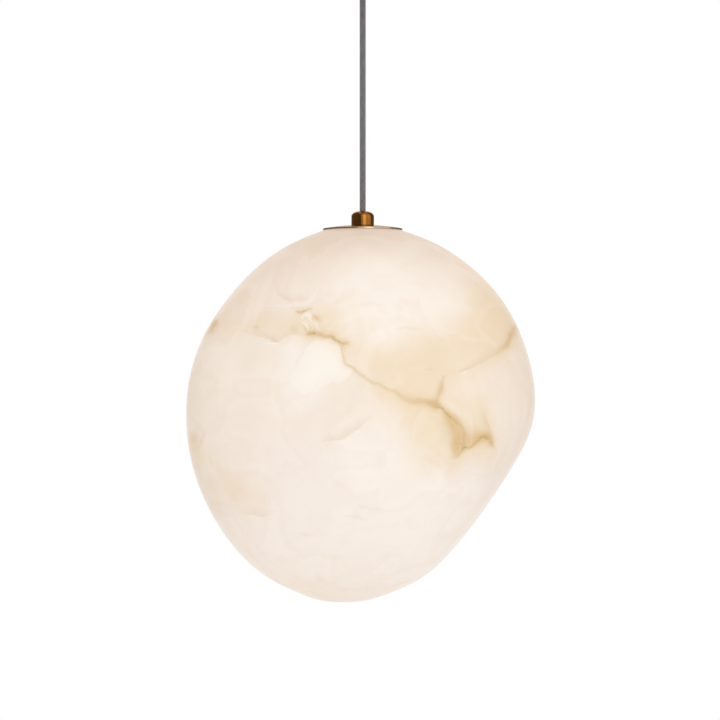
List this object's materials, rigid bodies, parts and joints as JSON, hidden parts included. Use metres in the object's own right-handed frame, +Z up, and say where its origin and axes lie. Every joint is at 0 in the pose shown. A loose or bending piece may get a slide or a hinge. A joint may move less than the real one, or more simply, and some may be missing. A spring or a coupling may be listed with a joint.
{
  "type": "pendant light",
  "caption": "Hollow alabaster pebble shade with a brass top cap and collar, hung by a straight textile cord from a small ceiling canopy, lit from inside by a round lamp.",
  "frame": {"origin": "on the ceiling plane, in line with the cord, at the centre of the ceiling strap's screw slots", "axes": "+Z up into the ceiling, +X to the viewer's right, +Y away from the viewer"},
  "size_m": [0.301, 0.2732, 0.5648],
  "materials": {
    "alabaster": "hand-honed translucent stone with ochre veins",
    "aged_brass": "brushed and aged",
    "plain_brass": "plain",
    "zinc_steel": "zinc plated",
    "nickel_aluminium": "nickel plated",
    "grey_textile": "woven textile sleeve",
    "brown_insulation": "smooth",
    "blue_insulation": "smooth",
    "green_insulation": "green with a yellow stripe",
    "white_polymer": "moulded",
    "clear_rubber": "silicone",
    "porcelain": "white glaze",
    "black_glass": "black insulator",
    "frosted_globe": "opal diffuser, lit"
  },
  "bodies": {
    "ceiling": {"ceiling_bracket": "zinc_steel", "canopy": "aged_brass", "canopy_screws": "aged_brass", "grip_stem": "aged_brass", "grip_locknut": "zinc_steel", "grip_washer": "zinc_steel", "grip_nut": "aged_brass", "terminal_block": "white_polymer", "terminal_screws": "zinc_steel", "terminal_block_screw": "zinc_steel", "earth_screw": "zinc_steel", "earth_ring_terminal": "zinc_steel", "live_core_upper": "brown_insulation", "neutral_core_upper": "blue_insulation", "earth_core_upper": "green_insulation"},
    "cord_grip": {"grip_collet": "white_polymer", "cord_upper_tail": "grey_textile"},
    "pendant": {"suspension_cord": "grey_textile", "alabaster_shade": "alabaster", "cap_gasket": "clear_rubber", "hanger_bar": "zinc_steel", "bar_pads": "clear_rubber", "stem": "zinc_steel", "stem_nuts": "zinc_steel", "stem_washers": "zinc_steel", "cord_lower_tail": "grey_textile", "cord_stop": "zinc_steel", "live_core": "brown_insulation", "neutral_core": "blue_insulation", "earth_core": "green_insulation", "holder_cover": "aged_brass", "holder_body": "aged_brass", "holder_insulator": "porcelain", "holder_screw_shell": "plain_brass", "holder_centre_contact": "plain_brass", "holder_terminal_screws": "plain_brass"},
    "cap": {"top_cap": "aged_brass"},
    "collar": {"collar": "aged_brass", "collar_grub_screw": "zinc_steel"},
    "lamp": {"bulb_cap": "nickel_aluminium", "bulb_insulator": "black_glass", "bulb_tip": "plain_brass", "bulb_housing": "white_polymer", "bulb_globe": "frosted_globe"}
  },
  "joints": [
    {"name": "pendant_turn", "type": "hinge", "parent": "ceiling", "child": "cord_grip", "pos_m": [0, 0, -0.0405], "axis": [0, 0, 1], "range_deg": [-180, 180]},
    {"name": "pendant_swing", "type": "hinge", "parent": "cord_grip", "child": "pendant", "pos_m": [0, 0, -0.0405], "axis": [1, 0, 0], "range_deg": [-20, 20]},
    {"name": "cap_lift", "type": "slide", "parent": "pendant", "child": "cap", "axis": [0, 0, 1], "range_m": [0, 0.15]},
    {"name": "collar_turn", "type": "hinge", "parent": "cap", "child": "collar", "pos_m": [0, 0, -0.2405], "axis": [0, 0, 1], "continuous": true},
    {"name": "lamp_out", "type": "slide", "parent": "pendant", "child": "lamp", "axis": [0, 0, -1], "range_m": [0, 0.027]}
  ]
}
